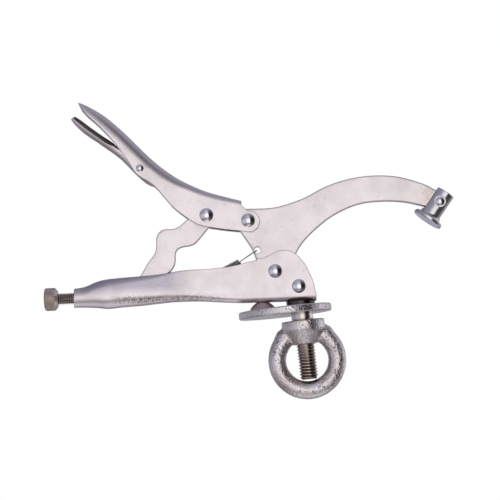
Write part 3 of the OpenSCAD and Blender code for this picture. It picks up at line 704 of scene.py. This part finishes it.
# eye nut: the forged body's edges and the runs into its ring are softened, and its skin is rough
eyeNut = {"voxel": 0.00055, "smooth": 36, "strength": 0.5, "top": -0.0085, "boreRadius": 0.0074,
          "skinScale": 1500, "skinDepth": 0.00022, "skinTop": 0.0006, "skinBore": 0.0008,
          "sharp": 50}
eyeRust = {"low": -0.0052, "high": -0.0046, "colour": (0.34, 0.20, 0.13), "depth": 0.7}
eyeFinish = metalFinish("castEye", marks=[(addBand, eyeRust)])


def looseSkin(mesh, top=0.0, bore=0.0):
    return [v for v in mesh.vertices if v.co.z < eyeNut["top"] - top
            and math.hypot(v.co.x, v.co.y) > eyeNut["boreRadius"] + bore]


def remeshBody(piece):
    remesh = piece.modifiers.new("remesh", "REMESH")
    remesh.mode = "VOXEL"
    remesh.voxel_size = eyeNut["voxel"]
    piece.data = evaluated(piece)
    piece.modifiers.clear()
    piece.data.materials.clear()
    piece.data.materials.append(eyeFinish)


def softenBody(piece):
    group = piece.vertex_groups.new(name="soft")
    group.add([v.index for v in looseSkin(piece.data)], 1.0, "REPLACE")
    soften = piece.modifiers.new("soften", "SMOOTH")
    soften.factor = eyeNut["strength"]
    soften.iterations = eyeNut["smooth"]
    soften.vertex_group = group.name
    piece.data = evaluated(piece)
    piece.modifiers.clear()
    piece.vertex_groups.clear()


def roughenSkin(mesh):
    moves = [(v, v.normal * noise.noise(v.co * eyeNut["skinScale"]) * eyeNut["skinDepth"])
             for v in looseSkin(mesh, eyeNut["skinTop"], eyeNut["skinBore"])]
    for v, move in moves:
        v.co += move


def makeEyeNut():
    piece = newPiece("eyeNut", mergedCopy("eye_nut"), eyeFinish)
    remeshBody(piece)
    softenBody(piece)
    roughenSkin(piece.data)
    shadeSmooth(piece.data, eyeNut["sharp"])
    return fasten(piece, "nut", "eye_nut")


makeEyeNut()
print("eye nut made")

threadTree = makeThreadTree()
knurlTree = makeKnurlTree()


def makeThread(name, size, length, material):
    return runTree(threadTree, name, {
        "Length": length, "Radius": size["radius"], "Depth": size["depth"], "Pitch": size["pitch"],
        "Chamfer": size["chamfer"], "Rows": round(length / size["pitch"] * size["rowsPerPitch"]),
        "Columns": size["columns"]}, material)


# stud: thread under the smooth shoulder; the plain solid shrinks to a core inside it
stud = {"radius": 0.00635, "depth": 0.00125, "pitch": 0.002117, "top": -0.0041, "bottom": -0.0453,
        "coreRadius": 0.0048, "coreShort": 0.0004, "hair": 1e-5, "overlap": 0.0005,
        "rowsPerPitch": 10, "columns": 72, "chamfer": 0.0016, "sharp": 35}
studMarks = [
    (addGrooves, {"start": (0, 0, 0), "axis": (0, 0, 1), "core": 0.0052, "crest": 0.0062,
                  "colour": (0.13, 0.085, 0.06), "depth": 0.92}),
    # painted shade: the collar and tang above the disc, under the handle, made nearly black
    (addBand, {"low": 0.0051, "high": 0.03, "colour": (0.05, 0.042, 0.04), "depth": 0.95}),
    (addBand, {"low": -0.0034, "high": -0.0004, "colour": (0.82, 0.78, 0.78), "depth": 0.9})]
studFinish = metalFinish("brownedThread", "Stud", studMarks)


def makeStud():
    shank = mergedCopy("mounting_stud")
    for v in shank.vertices:
        out = math.hypot(v.co.x, v.co.y)
        if v.co.z < stud["top"] - stud["hair"] and out > stud["coreRadius"]:
            v.co.x *= stud["coreRadius"] / out
            v.co.y *= stud["coreRadius"] / out
            v.co.z = max(v.co.z, stud["bottom"] + stud["coreShort"])
    start = stud["top"] + stud["overlap"]
    thread = makeThread("studThread", stud, start - stud["bottom"], studFinish)
    piece = joinMeshes("mountingStud", [
        (shank, Matrix()), (thread, Matrix.Translation((0, 0, start)))], studFinish)
    shadeSmooth(piece.data, stud["sharp"])
    return fasten(piece, "base", "mounting_stud")


makeStud()

# adjusting screw: knurled knob and a thread that runs through the tube, along the solid's axis;
# start, out, tip and overlap are millimetres in the pliers' plane
screw = {"start": (-138.2, -18.5), "slope": 2.5, "out": 11.4, "tip": 26.9, "overlap": 0.5,
         "radius": 0.004, "depth": 0.00078, "pitch": 0.00125, "rowsPerPitch": 8, "columns": 56,
         "chamfer": 0.001, "knobLength": 0.0092, "knobRadius": 0.0079, "sharp": 35}
screwSlope = math.radians(screw["slope"])
screwWay = Vector((math.cos(screwSlope), math.sin(screwSlope)))
screwAhead = pliersWay(*screwWay).normalized()
screwGrooves = {"start": fromPliers(*screw["start"]), "axis": screwAhead, "core": 0.0033,
                "crest": 0.0039, "colour": (0.15, 0.10, 0.075), "depth": 0.92}
screwFinish = metalFinish("brownedThread", "Screw", [(addGrooves, screwGrooves)])


def screwMatrix(distance):
    spot = fromPliers(*(Vector(screw["start"]) + screwWay * distance))
    turned = (-screwAhead).to_track_quat("Z", "Y").to_matrix().to_4x4()
    return Matrix.Translation(spot) @ turned


def makeScrew():
    length = (screw["out"] + screw["tip"] + screw["overlap"]) / 1000
    thread = makeThread("screwThread", screw, length, screwFinish)
    knob = runTree(knurlTree, "screwKnob", {
        "Length": screw["knobLength"], "Radius": screw["knobRadius"]}, screwFinish)
    piece = joinMeshes("adjustingScrew", [
        (thread, screwMatrix(-screw["out"] - screw["overlap"])),
        (knob, screwMatrix(-screw["out"] - screw["knobLength"] * 1000))], screwFinish)
    shadeSmooth(piece.data, screw["sharp"])
    return fasten(piece, "screw", "adjusting_screw")


makeScrew()
print("stud and screw threaded")

# tension spring: a close coil, its front shank hooked through the jaw's hole and its rear hook
# over the tab; x, y and side in millimetres, counted from the hole, the coil's end or the tab
spring = {"coilFront": (-24.4, 6.6), "slope": 28.0, "coilRadius": 2.05, "pitch": 1.16,
          "wireRadius": 0.00044, "hole": (-12.2, 14.7), "tab": (-61.2, -13.2), "rearLength": 6,
          "shank": ((-0.6, -0.4, -0.6), (-0.7, -0.5, 2.95), (-1.4, -1.0, 3.95), (-3.0, -2.0, 4.15),
                    (-7.0, -4.6, 3.65)),
          "rearLead": (-1.4, -0.8, 0.8), "rearHook": ((1.6, 0.2, 0.0), (-1.8, 0.0, 0.0)),
          "firstTurn": 90.0, "stepsPerTurn": 16, "sides": 10, "sharp": 50}
coilSlope = math.radians(spring["slope"])
coilWay = Vector((-math.cos(coilSlope), -math.sin(coilSlope)))
# painted shade: the wire is nearly black on its inner side, towards the coil's axis
coilInnerShade = {"start": fromPliers(*spring["coilFront"]), "axis": pliersWay(*coilWay).normalized(),
               "core": 0.0019, "crest": 0.00235, "colour": (0.02, 0.017, 0.015), "depth": 0.92}
wireFinish = metalFinish("springWire", marks=[(addGrooves, coilInnerShade)])


def springPath():
    front, hole, tab = (Vector((*spring[key], 0.0)) for key in ("coilFront", "hole", "tab"))
    along = Vector((*coilWay, 0.0))
    up = Vector((coilWay.y, -coilWay.x, 0.0))
    side = Vector((0, 0, 1))
    turns = int(((tab - front).length - spring["rearLength"]) / spring["pitch"])
    points = [hole + Vector(step) for step in spring["shank"]]
    for i in range(turns * spring["stepsPerTurn"] + 1):
        turn = i / spring["stepsPerTurn"]
        angle = math.radians(spring["firstTurn"]) + 2 * math.pi * turn
        points.append(front + along * spring["pitch"] * turn + spring["coilRadius"] * (
            up * math.cos(angle) + side * math.sin(angle)))
    points.append(front + along * turns * spring["pitch"] + Vector(spring["rearLead"]))
    points += [tab + Vector(step) for step in spring["rearHook"]]
    return [fromPliers(*point) for point in points]


def makeCoilTree():
    tree, given = newTree("coilTree", {"Wire Radius": 0.0005, "Sides": 10})
    curve = addNode(tree, "GeometryNodeMeshToCurve", {"Mesh": given["Geometry"]}).outputs[0]
    ring = addNode(tree, "GeometryNodeCurvePrimitiveCircle", {
        "Resolution": given["Sides"], "Radius": given["Wire Radius"]}).outputs[0]
    wire = addNode(tree, "GeometryNodeCurveToMesh", {
        "Curve": curve, "Profile Curve": ring, "Fill Caps": True}).outputs[0]
    endTree(tree, given, wire)
    return tree


def makeSpring():
    path = springPath()
    line = bpy.data.meshes.new("springPath")
    line.from_pydata(path, [(i, i + 1) for i in range(len(path) - 1)], [])
    coil = runTree(makeCoilTree(), "springCoil", {
        "Wire Radius": spring["wireRadius"], "Sides": spring["sides"]}, wireFinish, source=line)
    piece = joinMeshes("tensionSpring", [(coil, Matrix())], wireFinish)
    shadeSmooth(piece.data, spring["sharp"])
    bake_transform(piece)
    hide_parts("tension_spring")


makeSpring()
print("spring wound")
